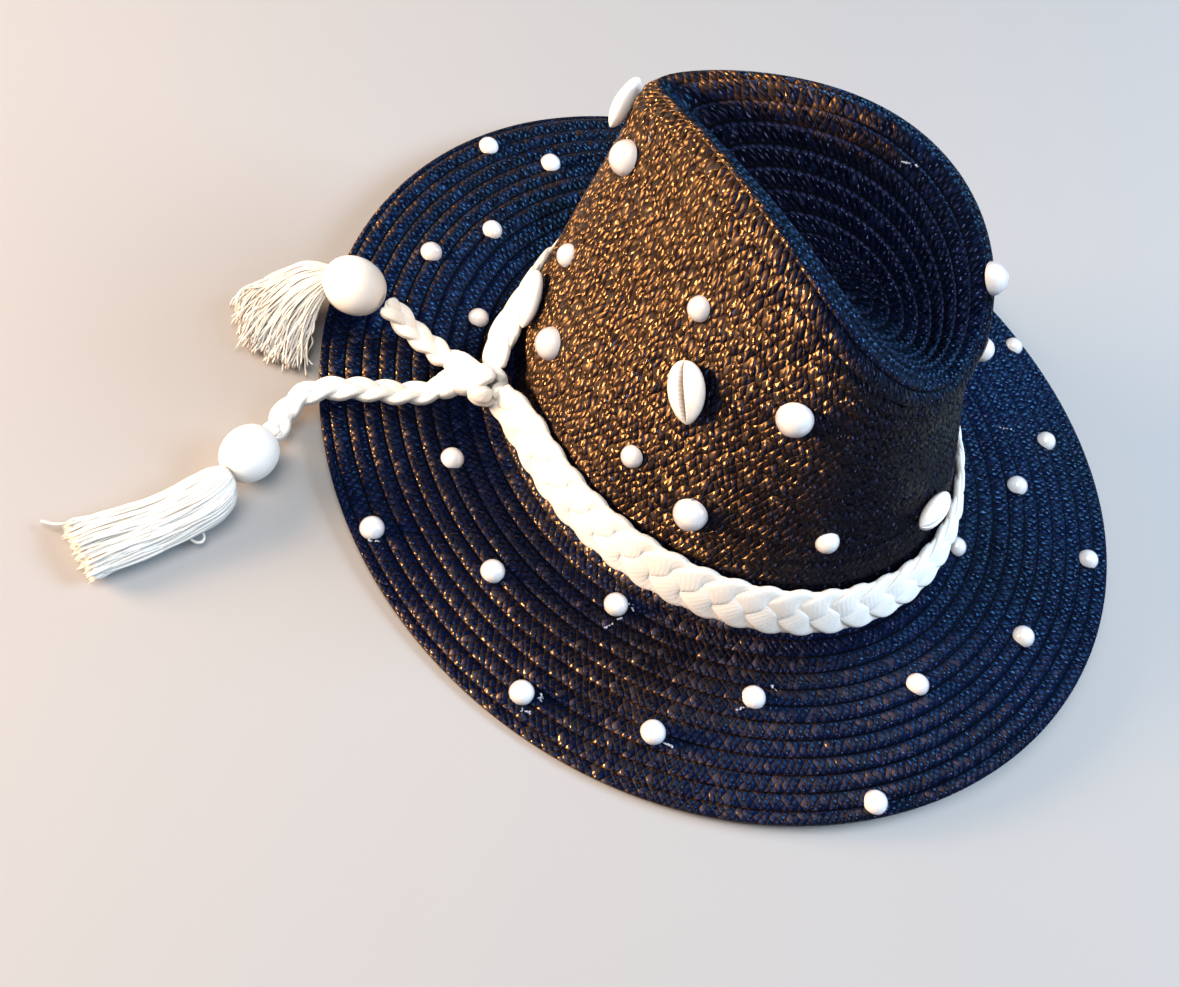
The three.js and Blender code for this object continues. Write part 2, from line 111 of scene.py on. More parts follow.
def straw_points(path, angle):
    """Points of the straw's outer face in metres. path in mm from the brim's edge, angle in radians."""
    path, angle = np.broadcast_arrays(np.clip(path, 0, SECTION_LENGTH), angle)
    i = np.clip(np.searchsorted(STATIONS, path, side="right") - 1, 0, len(STEPS) - 1)
    span = STEPS[i]
    t = ((path - STATIONS[i]) / span)[..., None]
    rise = span[..., None]
    ring = (
        (2 * t**3 - 3 * t**2 + 1) * RINGS[i]
        + (t**3 - 2 * t**2 + t) * rise * RATES[i]
        + (3 * t**2 - 2 * t**3) * RINGS[i + 1]
        + (t**3 - t**2) * rise * RATES[i + 1]
    )
    length, width, shift_x, shift_y, egg, height, slope, arch = np.moveaxis(ring, -1, 0)
    along = -length * np.cos(angle)
    across = width * np.sin(angle) * (1 - egg * np.cos(angle))
    height_at = height + slope * np.cos(angle) + arch * np.cos(2 * angle)
    x, y = across + shift_x, along + shift_y
    t = np.clip((path - STATIONS[CREST_ROW] + PINCH_END) / PINCH_END, 0, 1)
    ease = 1 - t**2 * (3 - 2 * t)
    for pinch, spread, middle, reach, depth in PINCHES:
        turn = (np.degrees(angle) - pinch + 180) % 360 - 180
        fade = ease * np.exp(-0.5 * (turn / spread) ** 2 - 0.5 * ((height_at - middle) / reach) ** 2)
        x = x - depth * fade * np.sin(angle)
        y = y + 0.5 * depth * fade * np.cos(angle)
    return np.stack([x, y, height_at], axis=-1) * MM


def straw_normals(path, angle):
    step, turn = 0.4, 0.01
    path, angle = np.broadcast_arrays(np.asarray(path, float), np.asarray(angle, float))
    inward = straw_points(path + step, angle) - straw_points(path - step, angle)
    around = straw_points(path, angle + turn) - straw_points(path, angle - turn)
    normal = np.cross(around, inward)
    near_middle = (SECTION_LENGTH - path < 3)[..., None]
    normal = np.where(near_middle, UP, normal)
    return normal / np.linalg.norm(normal, axis=-1, keepdims=True)


def raised(path, angle, out):
    """Points that stand out from the straw by out, in mm."""
    return straw_points(path, angle) + straw_normals(path, angle) * (np.asarray(out, float) * MM)[..., None]


# ---------------------------------------------------------------- modelling helpers


def deselect():
    if bpy.context.object and bpy.context.object.mode != "OBJECT":
        bpy.ops.object.mode_set(mode="OBJECT")
    bpy.ops.object.select_all(action="DESELECT")


def woven_grid(name, points, uv):
    """A grid whose vertices are laid on points[column, row]. Edges that meet are merged."""
    columns, rows = points.shape[0] - 1, points.shape[1] - 1
    deselect()
    bpy.ops.mesh.primitive_grid_add(x_subdivisions=columns, y_subdivisions=rows, size=2)
    piece = bpy.context.object
    piece.name = piece.data.name = name
    mesh = piece.data
    flat = np.empty(len(mesh.vertices) * 3)
    mesh.vertices.foreach_get("co", flat)
    flat = flat.reshape(-1, 3)
    column = np.rint((flat[:, 0] + 1) / 2 * columns).astype(int)
    row = np.rint((flat[:, 1] + 1) / 2 * rows).astype(int)
    corner = np.empty(len(mesh.loops), dtype=int)
    mesh.loops.foreach_get("vertex_index", corner)
    mesh.vertices.foreach_set("co", points[column, row].ravel())
    layer = mesh.uv_layers.active
    layer.name = "lay"
    layer.uv.foreach_set("vector", uv[column[corner], row[corner]].ravel())
    bpy.ops.object.mode_set(mode="EDIT")
    bpy.ops.mesh.select_all(action="SELECT")
    bpy.ops.mesh.remove_doubles(threshold=WELD)
    bpy.ops.object.mode_set(mode="OBJECT")
    bpy.ops.object.shade_smooth()
    return piece


def joined(name, pieces):
    deselect()
    for piece in pieces:
        piece.select_set(True)
    bpy.context.view_layer.objects.active = pieces[0]
    if len(pieces) > 1:
        bpy.ops.object.join()
    whole = bpy.context.object
    whole.name = whole.data.name = name
    return whole


def finish_piece(piece, slot, material, *nodes):
    piece.data.materials.clear()
    piece.data.materials.append(material)
    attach(piece, "root")
    if nodes:
        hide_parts(*nodes)
    return piece


def unit(v):
    return v / np.maximum(np.linalg.norm(v, axis=-1, keepdims=True), 1e-12)


def smooth_line(points, step):
    """A Catmull-Rom line through points, at even steps."""
    points = np.asarray(points, float)
    ends = np.vstack([2 * points[0] - points[1], points, 2 * points[-1] - points[-2]])
    fine = []
    t = np.linspace(0, 1, 24, endpoint=False)[:, None]
    for a, b, c, d in zip(ends[:-3], ends[1:-2], ends[2:-1], ends[3:]):
        squared, cubed = 2 * a - 5 * b + 4 * c - d, 3 * b - 3 * c + d - a
        fine.append(0.5 * (2 * b + (c - a) * t + squared * t**2 + cubed * t**3))
    fine = np.vstack(fine + [points[-1:]])
    gone = np.concatenate([[0], np.cumsum(np.linalg.norm(np.diff(fine, axis=0), axis=1))])
    even = np.linspace(0, gone[-1], max(int(gone[-1] / step), 4) + 1)
    return np.stack([np.interp(even, gone, fine[:, k]) for k in range(3)], axis=1)


def lengths_of(line):
    return np.concatenate([[0], np.cumsum(np.linalg.norm(np.diff(line, axis=0), axis=1))])


def strand(name, line, out, width, thick, sides=10, blunt=1.5, square=1.0):
    """A soft strand along line, width across and thick along out. Its ends are rounded over blunt times half
    its thickness, and square under 1 flattens its faces."""
    ahead = unit(np.gradient(line, axis=0))
    across = unit(np.cross(out, ahead))
    up = np.cross(ahead, across)
    gone = lengths_of(line)
    width = np.broadcast_to(width, gone.shape)
    thick = np.broadcast_to(thick, gone.shape)
    end = np.minimum(gone, gone[-1] - gone) / (blunt * thick / 2)
    close = np.sqrt(1 - (1 - np.clip(end, 0, 1)) ** 2)
    turn = np.linspace(0, 2 * np.pi, sides + 1)
    wide = np.sign(np.cos(turn)) * np.abs(np.cos(turn)) ** square
    high = np.sign(np.sin(turn)) * np.abs(np.sin(turn)) ** square
    ring = (
        across[:, None] * (wide[None, :, None] * (width * close / 2)[:, None, None])
        + up[:, None] * (high[None, :, None] * (thick * close / 2)[:, None, None])
    )
    points = line[:, None] + ring
    points[:, -1] = points[:, 0]
    uv = np.stack(np.broadcast_arrays(gone[:, None], turn[None] / (2 * np.pi)), axis=-1)
    return woven_grid(name, points, uv)


# A plait's strands, in shares of its width and its thickness. A corner near 1 turns them sharply at its edges.
STRAND_SWING = 0.25
STRAND_RISE = 0.13
STRAND_WIDTH = 0.48
STRAND_THICK = 0.55
STRAND_CORNER = 0.93


def plait(name, line, out, width, thick, pitch, phase, square, core):
    """A flat three-strand plait along line, lying across out. Its strands run straight from edge to edge, and
    a core fills the hollows between them: core is its share of the width and of the thickness."""
    gone = lengths_of(line)
    width = np.broadcast_to(width, gone.shape)
    thick = np.broadcast_to(thick, gone.shape)
    ahead = unit(np.gradient(line, axis=0))
    across = unit(np.cross(out, ahead))
    up = np.cross(ahead, across)
    strands = []
    for k in range(3):
        turn = 2 * np.pi * (gone / (3 * pitch) + k / 3) + phase
        swing = np.arcsin(STRAND_CORNER * np.sin(turn)) / np.arcsin(STRAND_CORNER)
        side = STRAND_SWING * width * swing
        rise = STRAND_RISE * thick * np.sin(2 * turn)
        lie = line + across * side[:, None] + up * rise[:, None]
        wide, deep = STRAND_WIDTH * width, STRAND_THICK * thick
        strands.append(strand(f"{name}_{k}", lie, up, wide, deep, 20, square=square))
    wide, deep = core[0] * width, core[1] * thick
    strands.append(strand(name + "_core", line, up, wide, deep, 16, square=square))
    return joined(name, strands)


# ---------------------------------------------------------------- materials


class Nodes:
    """Short hand for building a material's node tree."""

    def __init__(self, name):
        self.material = bpy.data.materials.new(name)
        self.material.use_nodes = True
        self.tree = self.material.node_tree
        self.shader = self.tree.nodes["Principled BSDF"]

    def add(self, kind, inputs=(), **settings):
        node = self.tree.nodes.new(kind)
        for key, value in settings.items():
            setattr(node, key, value)
        for key, value in dict(inputs).items():
            self.link(value, node.inputs[key])
        return node

    def link(self, value, socket):
        if isinstance(value, bpy.types.NodeSocket):
            self.tree.links.new(value, socket)
        else:
            socket.default_value = value

    def math(self, operation, a, b=0.0, c=0.0):
        return self.add("ShaderNodeMath", {0: a, 1: b, 2: c}, operation=operation).outputs[0]

    def mix(self, factor, a, b):
        node = self.add("ShaderNodeMix", data_type="RGBA")
        self.link(factor, node.inputs[0])
        self.link(a, node.inputs[6])
        self.link(b, node.inputs[7])
        return node.outputs[2]

    def blend(self, factor, a, b):
        node = self.add("ShaderNodeMix", data_type="FLOAT")
        self.link(factor, node.inputs[0])
        self.link(a, node.inputs[2])
        self.link(b, node.inputs[3])
        return node.outputs[0]

    def between(self, value, low, high, to_low=0.0, to_high=1.0):
        """value eased from the range low to high into the range to_low to to_high."""
        steps = {0: value, 1: low, 2: high, 3: to_low, 4: to_high}
        return self.add("ShaderNodeMapRange", steps, interpolation_type="SMOOTHSTEP").outputs[0]

    def lay(self):
        """The two values of the piece's own map: along it, and over or round it."""
        uv = self.add("ShaderNodeUVMap", uv_map="lay")
        parts = self.add("ShaderNodeSeparateXYZ", {0: uv.outputs[0]})
        return parts.outputs[0], parts.outputs[1]

    def noise(self, scale, detail):
        place = self.add("ShaderNodeTexCoord").outputs["Object"]
        return self.add("ShaderNodeTexNoise", {"Vector": place, "Scale": scale, "Detail": detail}).outputs[0]

    def random(self, x, y):
        """One random value for each whole pair of x and y."""
        spot = self.add("ShaderNodeCombineXYZ", {0: x, 1: y})
        return self.add("ShaderNodeTexWhiteNoise", {0: spot.outputs[0]}, noise_dimensions="2D").outputs[0]

    def bump(self, height, distance, strength=1.0):
        node = self.add("ShaderNodeBump", {"Height": height, "Distance": distance, "Strength": strength})
        self.link(node.outputs[0], self.shader.inputs["Normal"])

    def set(self, **sockets):
        for key, value in sockets.items():
            self.link(value, self.shader.inputs[key.replace("_", " ")])


STRIP = 0.0029  # from one strip of the weave to the next along the braid, in metres
STRIPS_OVER = 1.45  # strips across one row of the braid
WALL_FROM, WALL_TO = (9.9, 10.9), (18.6, 19.9)  # metres of braid where the crown's wall begins and ends
DENT_FROM = (19.5, 20.2)  # and where the dent begins


def straw_material():
    """Glossy paper straw: flat strips lean left and right in the braid, each catching the light its own way."""
    n = Nodes("paper_straw")
    along, over = n.lay()
    stray = n.math("MULTIPLY", n.math("SUBTRACT", n.noise(150, 2), 0.5), 0.9)
    slip = n.math("MULTIPLY", n.math("SUBTRACT", n.noise(120, 2), 0.5), 0.6)
    step = n.math("MULTIPLY_ADD", along, 1 / STRIP, stray)
    tall = n.math("MULTIPLY_ADD", over, STRIPS_OVER, slip)
    a, b = n.math("ADD", step, tall), n.math("SUBTRACT", step, tall)
    cell_a, cell_b = n.math("FLOOR", a), n.math("FLOOR", b)
    part_a, part_b = n.math("FRACT", a), n.math("FRACT", b)
    # The lift keeps the sum of the cells over zero, so that it alternates between 0 and 1 everywhere.
    lift = 100000.0
    under = n.math("MODULO", n.math("ADD", n.math("ADD", cell_a, cell_b), lift), 2.0)
    hump_a = n.math("SINE", n.math("MULTIPLY", part_a, math.pi))
    hump_b = n.math("SINE", n.math("MULTIPLY", part_b, math.pi))
    height = n.blend(
        under,
        n.math("MULTIPLY", n.math("POWER", hump_a, 0.6), n.math("MULTIPLY_ADD", hump_b, 0.7, 0.3)),
        n.math("MULTIPLY", n.math("POWER", hump_b, 0.6), n.math("MULTIPLY_ADD", hump_a, 0.7, 0.3)),
    )
    strip = n.random(cell_a, cell_b)
    twist = n.random(cell_b, n.math("ADD", cell_a, 71.0))
    sideways = n.math("SUBTRACT", n.blend(under, part_b, part_a), 0.5)
    lengthways = n.math("SUBTRACT", n.blend(under, part_a, part_b), 0.5)
    lean = n.math("MULTIPLY", n.math("SUBTRACT", strip, 0.5), sideways)
    pitch = n.math("MULTIPLY", n.math("SUBTRACT", twist, 0.5), lengthways)
    relief = n.math("MULTIPLY_ADD", lean, 3.2, n.math("MULTIPLY", height, 0.7))
    relief = n.math("MULTIPLY_ADD", pitch, 2.4, relief)
    relief = n.math("MULTIPLY_ADD", n.noise(2600, 2), 0.1, relief)
    # Painted shade: the low gaps between the strips, the joins between rows at each row's tucked side, and each
    # row's rising first edge are painted near black, as where shade falls among strips and rows. lit marks the
    # raised strip faces that stay clear of the gaps; on the crown's wall the joins between rows are painted less
    # dark.
    lit = n.between(height, 0.24, 0.5)
    upright = n.math("MULTIPLY", n.between(along, *WALL_FROM), n.between(along, *WALL_TO, 1.0, 0.0))
    free_of_seam_shade = n.math("MAXIMUM", n.between(over, 0.82, 0.93, 1.0, 0.0), n.math("MULTIPLY", upright, 0.35))
    relief = n.math("MULTIPLY", relief, n.math("MULTIPLY_ADD", upright, 0.6, 1.0))
    rim = n.between(over, 0.0, 0.05, 0.4, 1.0)
    unshaded_face = n.math("MULTIPLY", n.math("MULTIPLY", lit, free_of_seam_shade), rim)
    # Painted light: on the crown's wall the navy turns warm near-black and the lighter strips fade, standing in
    # for warm light on the wall where the brim shows the sky's blue; the straw itself is navy all over.
    bright = n.math("MULTIPLY", n.between(strip, 0.7, 1.0), n.math("MULTIPLY_ADD", upright, -0.8, 1.0))
    navy = n.mix(n.between(n.noise(9, 2), 0.35, 0.7), (0.001, 0.0024, 0.006, 1), (0.001, 0.0055, 0.02, 1))
    navy = n.mix(n.math("MULTIPLY", upright, 0.85), navy, (0.002, 0.0014, 0.0014, 1))
    tone = n.mix(bright, navy, (0.007, 0.013, 0.03, 1))
    # Painted shade and highlight: the dent, a hollow, is painted darker, and a thin line near each row's edge in
    # it is painted lighter as if catching the light.
    dent = n.between(along, *DENT_FROM)
    edge = n.math("MULTIPLY", n.between(over, 0.02, 0.06), n.between(over, 0.1, 0.2, 1.0, 0.0))
    tone = n.mix(n.math("MULTIPLY", dent, 0.6), tone, (0.0008, 0.001, 0.0016, 1))
    tone = n.mix(n.math("MULTIPLY", dent, n.math("MULTIPLY", edge, 0.8)), tone, (0.022, 0.026, 0.042, 1))
    # Painted shade: near black where the strip faces give way to gaps and to the joins between rows.
    tone = n.mix(unshaded_face, (0.0004, 0.0004, 0.0006, 1), tone)
    gloss = n.blend(n.between(twist, 0.1, 0.8), 0.48, 0.2)
    n.set(Base_Color=tone, Roughness=n.blend(unshaded_face, n.blend(upright, 0.95, 0.42), gloss))
    n.shader.inputs["Specular IOR Level"].default_value = 0.11
    n.bump(relief, 0.0006)
    return n.material


def cotton_material(name, fine, tone):
    """Soft cotton: fine cords along the strand with painted shade in the grooves between them, fluff, slightly
    darker blotches, and painted shade along each strand's sides.
    """

    def shade(red, green, blue):
        return (tone[0] * red, tone[1] * green, tone[2] * blue, 1)

    n = Nodes(name)
    along, around = n.lay()
    cords = n.math("MULTIPLY_ADD", along, 0.45 / fine, n.math("MULTIPLY", around, 9.0))
    groove = n.math("ABSOLUTE", n.math("SINE", n.math("MULTIPLY", cords, math.pi)))
    fluff = n.noise(1500, 4)
    blotches = n.noise(60, 3)
    light = n.mix(n.between(blotches, 0.3, 0.75), tone, shade(0.9, 0.87, 0.82))
    # Painted shade in the grooves between the cords.
    light = n.mix(n.between(groove, 0.0, 0.3, 0.5, 1.0), shade(0.9, 0.88, 0.84), light)
    # Painted shade along the strand's two sides, where it tucks under its neighbours.
    side = n.math("ABSOLUTE", n.math("COSINE", n.math("MULTIPLY", around, 2 * math.pi)))
    light = n.mix(n.between(side, 0.8, 1.0, 0.0, 0.6), light, shade(0.45, 0.44, 0.42))
    n.set(Base_Color=light, Roughness=n.between(fluff, 0.2, 0.8, 0.8, 0.98))
    n.shader.inputs["Sheen Weight"].default_value = 0.25
    n.shader.inputs["Sheen Roughness"].default_value = 0.5
    n.bump(n.math("MULTIPLY_ADD", fluff, 1.0, n.math("MULTIPLY", groove, 0.35)), 0.00013)
    return n.material


def bead_material():
    """White paint over wood, thin enough for its grain to show."""
    n = Nodes("painted_wood")
    grain = n.noise(90, 4)
    speck = n.noise(900, 2)
    tone = n.mix(n.between(grain, 0.3, 0.7), (0.9, 0.88, 0.84, 1), (0.83, 0.8, 0.75, 1))
    n.set(Base_Color=tone, Roughness=n.between(speck, 0.3, 0.7, 0.42, 0.6))
    n.bump(n.math("MULTIPLY_ADD", speck, 0.3, grain), 0.0003, 0.5)
    return n.material


def shell_material():
    """Cowrie: polished ivory, with painted shade, dark brown, down in its slit and between its teeth."""
    n = Nodes("cowrie")
    _, deep = n.lay()
    mottle = n.noise(260, 3)
    tone = n.mix(n.between(mottle, 0.35, 0.7), (0.93, 0.91, 0.87, 1), (0.88, 0.83, 0.76, 1))
    # Painted shade: dark brown down in the slit and, lighter, in the grooves between the teeth.
    tone = n.mix(n.between(deep, 0.0, 1.0), tone, (0.33, 0.26, 0.2, 1))
    n.set(Base_Color=tone, Roughness=n.between(mottle, 0.3, 0.7, 0.2, 0.34))
    n.shader.inputs["Coat Weight"].default_value = 0.4
    n.shader.inputs["Coat Roughness"].default_value = 0.15
    n.bump(mottle, 0.0001, 0.4)
    return n.material


def pearl_material():
    """Pearl gloss: a pale body that darkens to a greyish pink toward its outline, a painted reflection of the
    dark straw round it, with faint bluish clouds, under a clear coat.
    """
    n = Nodes("pearl_gloss")
    side = n.add("ShaderNodeLayerWeight", {"Blend": 0.35}).outputs["Facing"]
    cloud = n.noise(220, 2)
    # Painted reflection: the body darkens toward its outline as if mirroring the dark straw round it.
    tone = n.mix(n.between(side, 0.05, 0.75), (0.74, 0.72, 0.7, 1), (0.46, 0.4, 0.42, 1))
    tone = n.mix(n.between(cloud, 0.4, 0.75, 0.0, 0.5), tone, (0.74, 0.77, 0.82, 1))
    n.set(Base_Color=tone, Roughness=n.between(cloud, 0.3, 0.7, 0.2, 0.32))
    n.shader.inputs["Coat Weight"].default_value = 0.8
    n.shader.inputs["Coat Roughness"].default_value = 0.08
    n.shader.inputs["Sheen Weight"].default_value = 0.2
    n.bump(cloud, 0.0001, 0.3)
    return n.material


def glue_material():
    """Clear glue, dried milky."""
    n = Nodes("dried_glue")
    cloud = n.noise(700, 3)
    tone = n.mix(n.between(cloud, 0.35, 0.7), (0.36, 0.38, 0.44, 1), (0.16, 0.18, 0.23, 1))
    n.set(Base_Color=tone, Roughness=n.between(cloud, 0.3, 0.7, 0.15, 0.35))
    n.bump(cloud, 0.0002, 0.5)
    return n.material


STRAW = straw_material()
COTTON = cotton_material("cotton_cord", 0.0008, (0.9, 0.88, 0.83, 1))
YARN = cotton_material("cotton_yarn", 0.0006, (0.8, 0.77, 0.71, 1))
WOOD = bead_material()
SHELL = shell_material()
PEARL = pearl_material()
GLUE_CLEAR = glue_material()

# ---------------------------------------------------------------- tails

UPPER_TAIL = np.array([
    (66.9, -91.2, 22.1), (65.4, -94.6, 20.0), (64.7, -97.0, 18.2), (64.2, -99.5, 16.6), (63.9, -102.2, 15.6),
    (63.7, -105.2, 15.2), (63.6, -108.4, 15.3), (63.7, -111.6, 15.6), (64.0, -114.8, 16.0),
    (64.3, -117.7, 16.6), (64.6, -120.5, 17.8), (64.9, -123.1, 19.3), (65.2, -125.6, 21.0),
    (65.6, -128.4, 22.5), (66.3, -131.5, 23.6),
]) * MM
LOWER_TAIL = np.array([
    (72.4, -90.4, 20.9), (75.2, -92.0, 19.2), (77.5, -93.4, 17.7), (79.9, -95.1, 16.4), (82.4, -97.2, 15.5),
    (85.0, -99.6, 15.0), (87.8, -102.6, 14.8), (90.6, -106.0, 14.7), (93.4, -109.6, 14.7),
    (96.2, -113.2, 14.6), (99.2, -116.8, 14.4), (102.4, -120.4, 14.2), (105.8, -123.8, 14.0),
    (109.4, -126.9, 13.4), (113.0, -129.3, 11.9), (116.4, -130.7, 9.8), (119.8, -131.2, 7.7),
    (123.4, -130.7, 6.2), (126.8, -129.5, 5.7), (130.2, -128.3, 6.5), (133.7, -127.3, 8.0),
]) * MM


TAIL_FACE = np.array([0.12, -0.1, 1.0])  # the way the flat side of both tails looks


def make_lump(line, at):
    """Two turns of cotton round the tail at point at of its line, each leaning another way."""
    half_width, half_height, slant = 0.0031, 0.0024, 0.003
    ahead = unit(line[at + 1] - line[at - 1])
    side = unit(np.cross(UP, ahead))
    up = np.cross(ahead, side)
    turn = np.linspace(0, 2 * np.pi, 60)[:, None]
    turns = []
    for k, lean in enumerate((0.5, -0.6)):
        over = side * np.cos(turn) * half_width + up * np.sin(turn) * half_height
        round_it = over + ahead * np.cos(turn) * lean * slant
        turns.append(strand(f"lump_{k}", line[at] + round_it, unit(round_it), 0.0042, 0.0034))
    return turns


def tail(name, route, width, thick, pitch, phase, lump=None):
    """A plaited tail. lump is the share of its length at which a small overhand knot sits."""
    line = smooth_line(route, 0.0009)
    out = np.broadcast_to(TAIL_FACE, line.shape)
    parts = [plait("plaited_" + name, line, out, width, thick, pitch, phase, 0.7, (0.74, 0.42))]
    if lump:
        parts += make_lump(line, int(lump * (len(line) - 1)))
    return finish_piece(joined("plaited_" + name, parts), "cotton", COTTON, name)


tail_upper = tail("tail_upper", UPPER_TAIL, 0.0108, 0.0074, 0.0092, 0.4)
tail_lower = tail("tail_lower", LOWER_TAIL, 0.0102, 0.0074, 0.0105, 1.1, 0.86)

# ---------------------------------------------------------------- straw body

BRAID = 6.45  # width of one row in mm
ROUND = 240  # points in one turn of the spiral
SEAM = math.radians(-150)  # where the spiral begins
# Across one row: the share of its width, and the height over the straw's face in mm.
RIDGE = [(-0.2, -1.5), (0.0, -0.1), (0.04, 0.75), (0.22, 1.1), (0.5, 0.9), (0.8, 0.35), (1.0, -0.1)]
LINING = [(0.0, -1.5), (0.1, -1.9), (0.6, -1.95), (1.0, -1.5)]


def braid_strip(name, rows, flatter):
    """One long braid laid in a spiral from the brim's edge to the middle of the dent. rows is RIDGE or LINING,
    and flatter is the share of its relief that it loses on the crown's wall."""
    turns = SECTION_LENGTH / BRAID
    t = np.arange(int(math.ceil((turns + 1) * ROUND)) + 1) / ROUND
    edge = np.clip((t - 1) * BRAID, 0, SECTION_LENGTH)
    inner = np.clip(t * BRAID, 0, SECTION_LENGTH)
    share = np.array([max(row[0], 0) for row in rows])
    height = np.array([row[1] for row in rows])
    base = height[-1]
    path = edge[:, None] + (inner - edge)[:, None] * share
    full = ((inner - edge) / BRAID)[:, None]
    low = 1 - flatter * np.interp(edge, [68, 88, 190, 215], [0, 1, 1, 0])[:, None]
    out = base + (height - base)[None, :] * full * low
    if rows[0][0] < 0:
        out[:, 0] = np.where(t <= 1, height[0], 0)
    angle = np.broadcast_to((SEAM + 2 * np.pi * t)[:, None], path.shape)
    points = raised(path, angle, out)
    middle = lengths_of(points[:, len(rows) // 2])
    uv = np.stack(np.broadcast_arrays(middle[:, None], share[None, :]), axis=-1)
    return woven_grid(name, points, uv)


def make_straw_body():
    outer = braid_strip("straw_outer", RIDGE, 0.3)
    lining = braid_strip("straw_lining", LINING, 0)
    deselect()
    lining.select_set(True)
    bpy.context.view_layer.objects.active = lining
    bpy.ops.object.mode_set(mode="EDIT")
    bpy.ops.mesh.select_all(action="SELECT")
    bpy.ops.mesh.flip_normals()
    bpy.ops.object.mode_set(mode="OBJECT")
    body = joined("straw", [outer, lining])
    bpy.ops.object.mode_set(mode="EDIT")
    bpy.ops.mesh.select_all(action="SELECT")
    bpy.ops.mesh.remove_doubles(threshold=WELD)
    bpy.ops.object.mode_set(mode="OBJECT")
    return finish_piece(body, "straw", STRAW, "straw_body")


straw = make_straw_body()

# ---------------------------------------------------------------- band and knot

KNOT_ANGLE = 43.0  # in degrees round the hat
KNOT_PATH = 80.0  # in mm from the brim's edge
# The band's two edges, in mm from the brim's edge, and how far it stands out from the straw, in mm.
BAND_FOOT, BAND_TOP, BAND_OUT = 73.0, 95.5, 3.0
# Its width, its thickness and the length of one crossing of its strands, in metres.
BAND_WIDTH, BAND_THICK, BAND_PITCH = 0.0226, 0.0052, 0.0125


def make_band():
    """The band leans on the foot of the crown. Its two ends rise and narrow to the knot, and its back end leans
    out at the foot before it."""
    angle = np.radians(np.linspace(KNOT_ANGLE + 3, KNOT_ANGLE + 357, 900))
    away = np.degrees(np.minimum(angle - math.radians(KNOT_ANGLE), math.radians(KNOT_ANGLE + 360) - angle))
    near = np.exp(-((away / 9) ** 2))
    back_end = np.exp(-(((KNOT_ANGLE + 360 - np.degrees(angle) - 14) / 11) ** 2))
    low = raised(np.full_like(angle, BAND_FOOT), angle, BAND_OUT + 7 * near + 5 * back_end)
    high = raised(BAND_TOP - 6 * near, angle, BAND_OUT + 8 * near)
    normal = unit(np.cross(unit(np.gradient(low, axis=0)), high - low))
    width = BAND_WIDTH * (1 - 0.28 * near + 0.1 * back_end)
    middle = (low + high) / 2
    piece = plait("plaited_band", middle, normal, width, BAND_THICK, BAND_PITCH, 0.0, 0.55, (0.9, 0.42))
    return finish_piece(piece, "cotton", COTTON, "band")


make_band()


# Each fold of the knot: tilt in degrees, then half its height, half its depth, its shift and its width in mm.
FOLDS = [(24, 6.2, 6.0, 0.4, 8.6), (-38, 5.6, 5.6, 2.8, 7.4), (72, 6.0, 5.0, -2.2, 7.8)]
FOLD_THICK = 4.6


def make_knot():
    """Soft folds of cotton go round the place where the band's two ends meet, and both tails leave it."""
    path, angle = np.array(KNOT_PATH), np.array(math.radians(KNOT_ANGLE))
    centre = raised(path, angle, np.array(14.6))
    out = straw_normals(path, angle)
    side = unit(np.cross(UP, out))
    up = np.cross(out, side)
    folds = []
    turn = np.linspace(0, 2 * np.pi, 90)[:, None]
    for k, (tilt, high, deep, far, width) in enumerate(FOLDS):
        tilt = math.radians(tilt)
        a = side * math.cos(tilt) + up * math.sin(tilt)
        b = np.cross(out, a)
        ring = b * np.cos(turn) * high + out * np.sin(turn) * deep + a * (far + 1.2 * np.sin(turn * 2))
        line = centre + ring * MM
        face = unit(line - centre)
        folds.append(strand(f"fold_{k}", line, face, width * MM, FOLD_THICK * MM, 18, square=0.8))
    for k, route in enumerate((UPPER_TAIL, LOWER_TAIL)):
        start = centre + out * 2.5 * MM
        halfway = (centre + out * 3 * MM + route[0]) / 2
        line = smooth_line(np.vstack([start, halfway, route[:4]]), 0.0008)
        face = np.broadcast_to(TAIL_FACE, line.shape)
        gone = lengths_of(line)
        width = np.interp(gone, [0, gone[-1]], [0.0125, 0.0106])
        folds.append(strand(f"root_{k}", line, face, width, 0.0078, 18, square=0.8))
    return finish_piece(joined("tied_knot", folds), "cotton", COTTON, "knot")


make_knot()

# ---------------------------------------------------------------- pearls and shells

# Place of each half pearl in mm from the brim's edge and in degrees round the hat, then its diameter in mm.
PEARLS = {
    "pearl_large": [
        (166, 115.1, 13), (112.2, 102.7, 13), (171.8, 26.8, 13), (112.4, 46.7, 12.8),
        (197.2, -145, 12.5), (140, -92, 13),
    ],
    "pearl_small": [
        (166, 80.2, 9.2), (116, 84.3, 8.8), (118.4, 137.2, 9.2), (131.9, 30.1, 9.2),
        (190, -165, 9), (120, -58, 9.2), (118, -124, 9.2),
    ],
    "pearl_brim": [
        (6.8, -14, 9), (24.8, -22.4, 9.2), (28.8, 11.3, 9.2), (41.3, -1.4, 8.8),
        (56.7, 19.8, 8.6), (45.2, 54.7, 9.2), (7.5, 62.3, 9.4), (37.1, 76.3, 9.4),
        (60.2, 95.4, 9.4), (12.3, 91.8, 9.4), (23, 109.9, 9.6), (45.5, 124.9, 9.4),
        (5.5, 141.5, 9.4), (41.8, 157, 9.2), (27.4, 180.9, 9.2), (9, -158.4, 8.8),
        (40.2, -146.9, 9), (66.6, -168, 8.4), (18.9, -136.2, 9), (6, -117, 8.6),
        (42, -106, 9), (14, -84, 9), (44, -68, 9), (16, -50, 9),
    ],
}
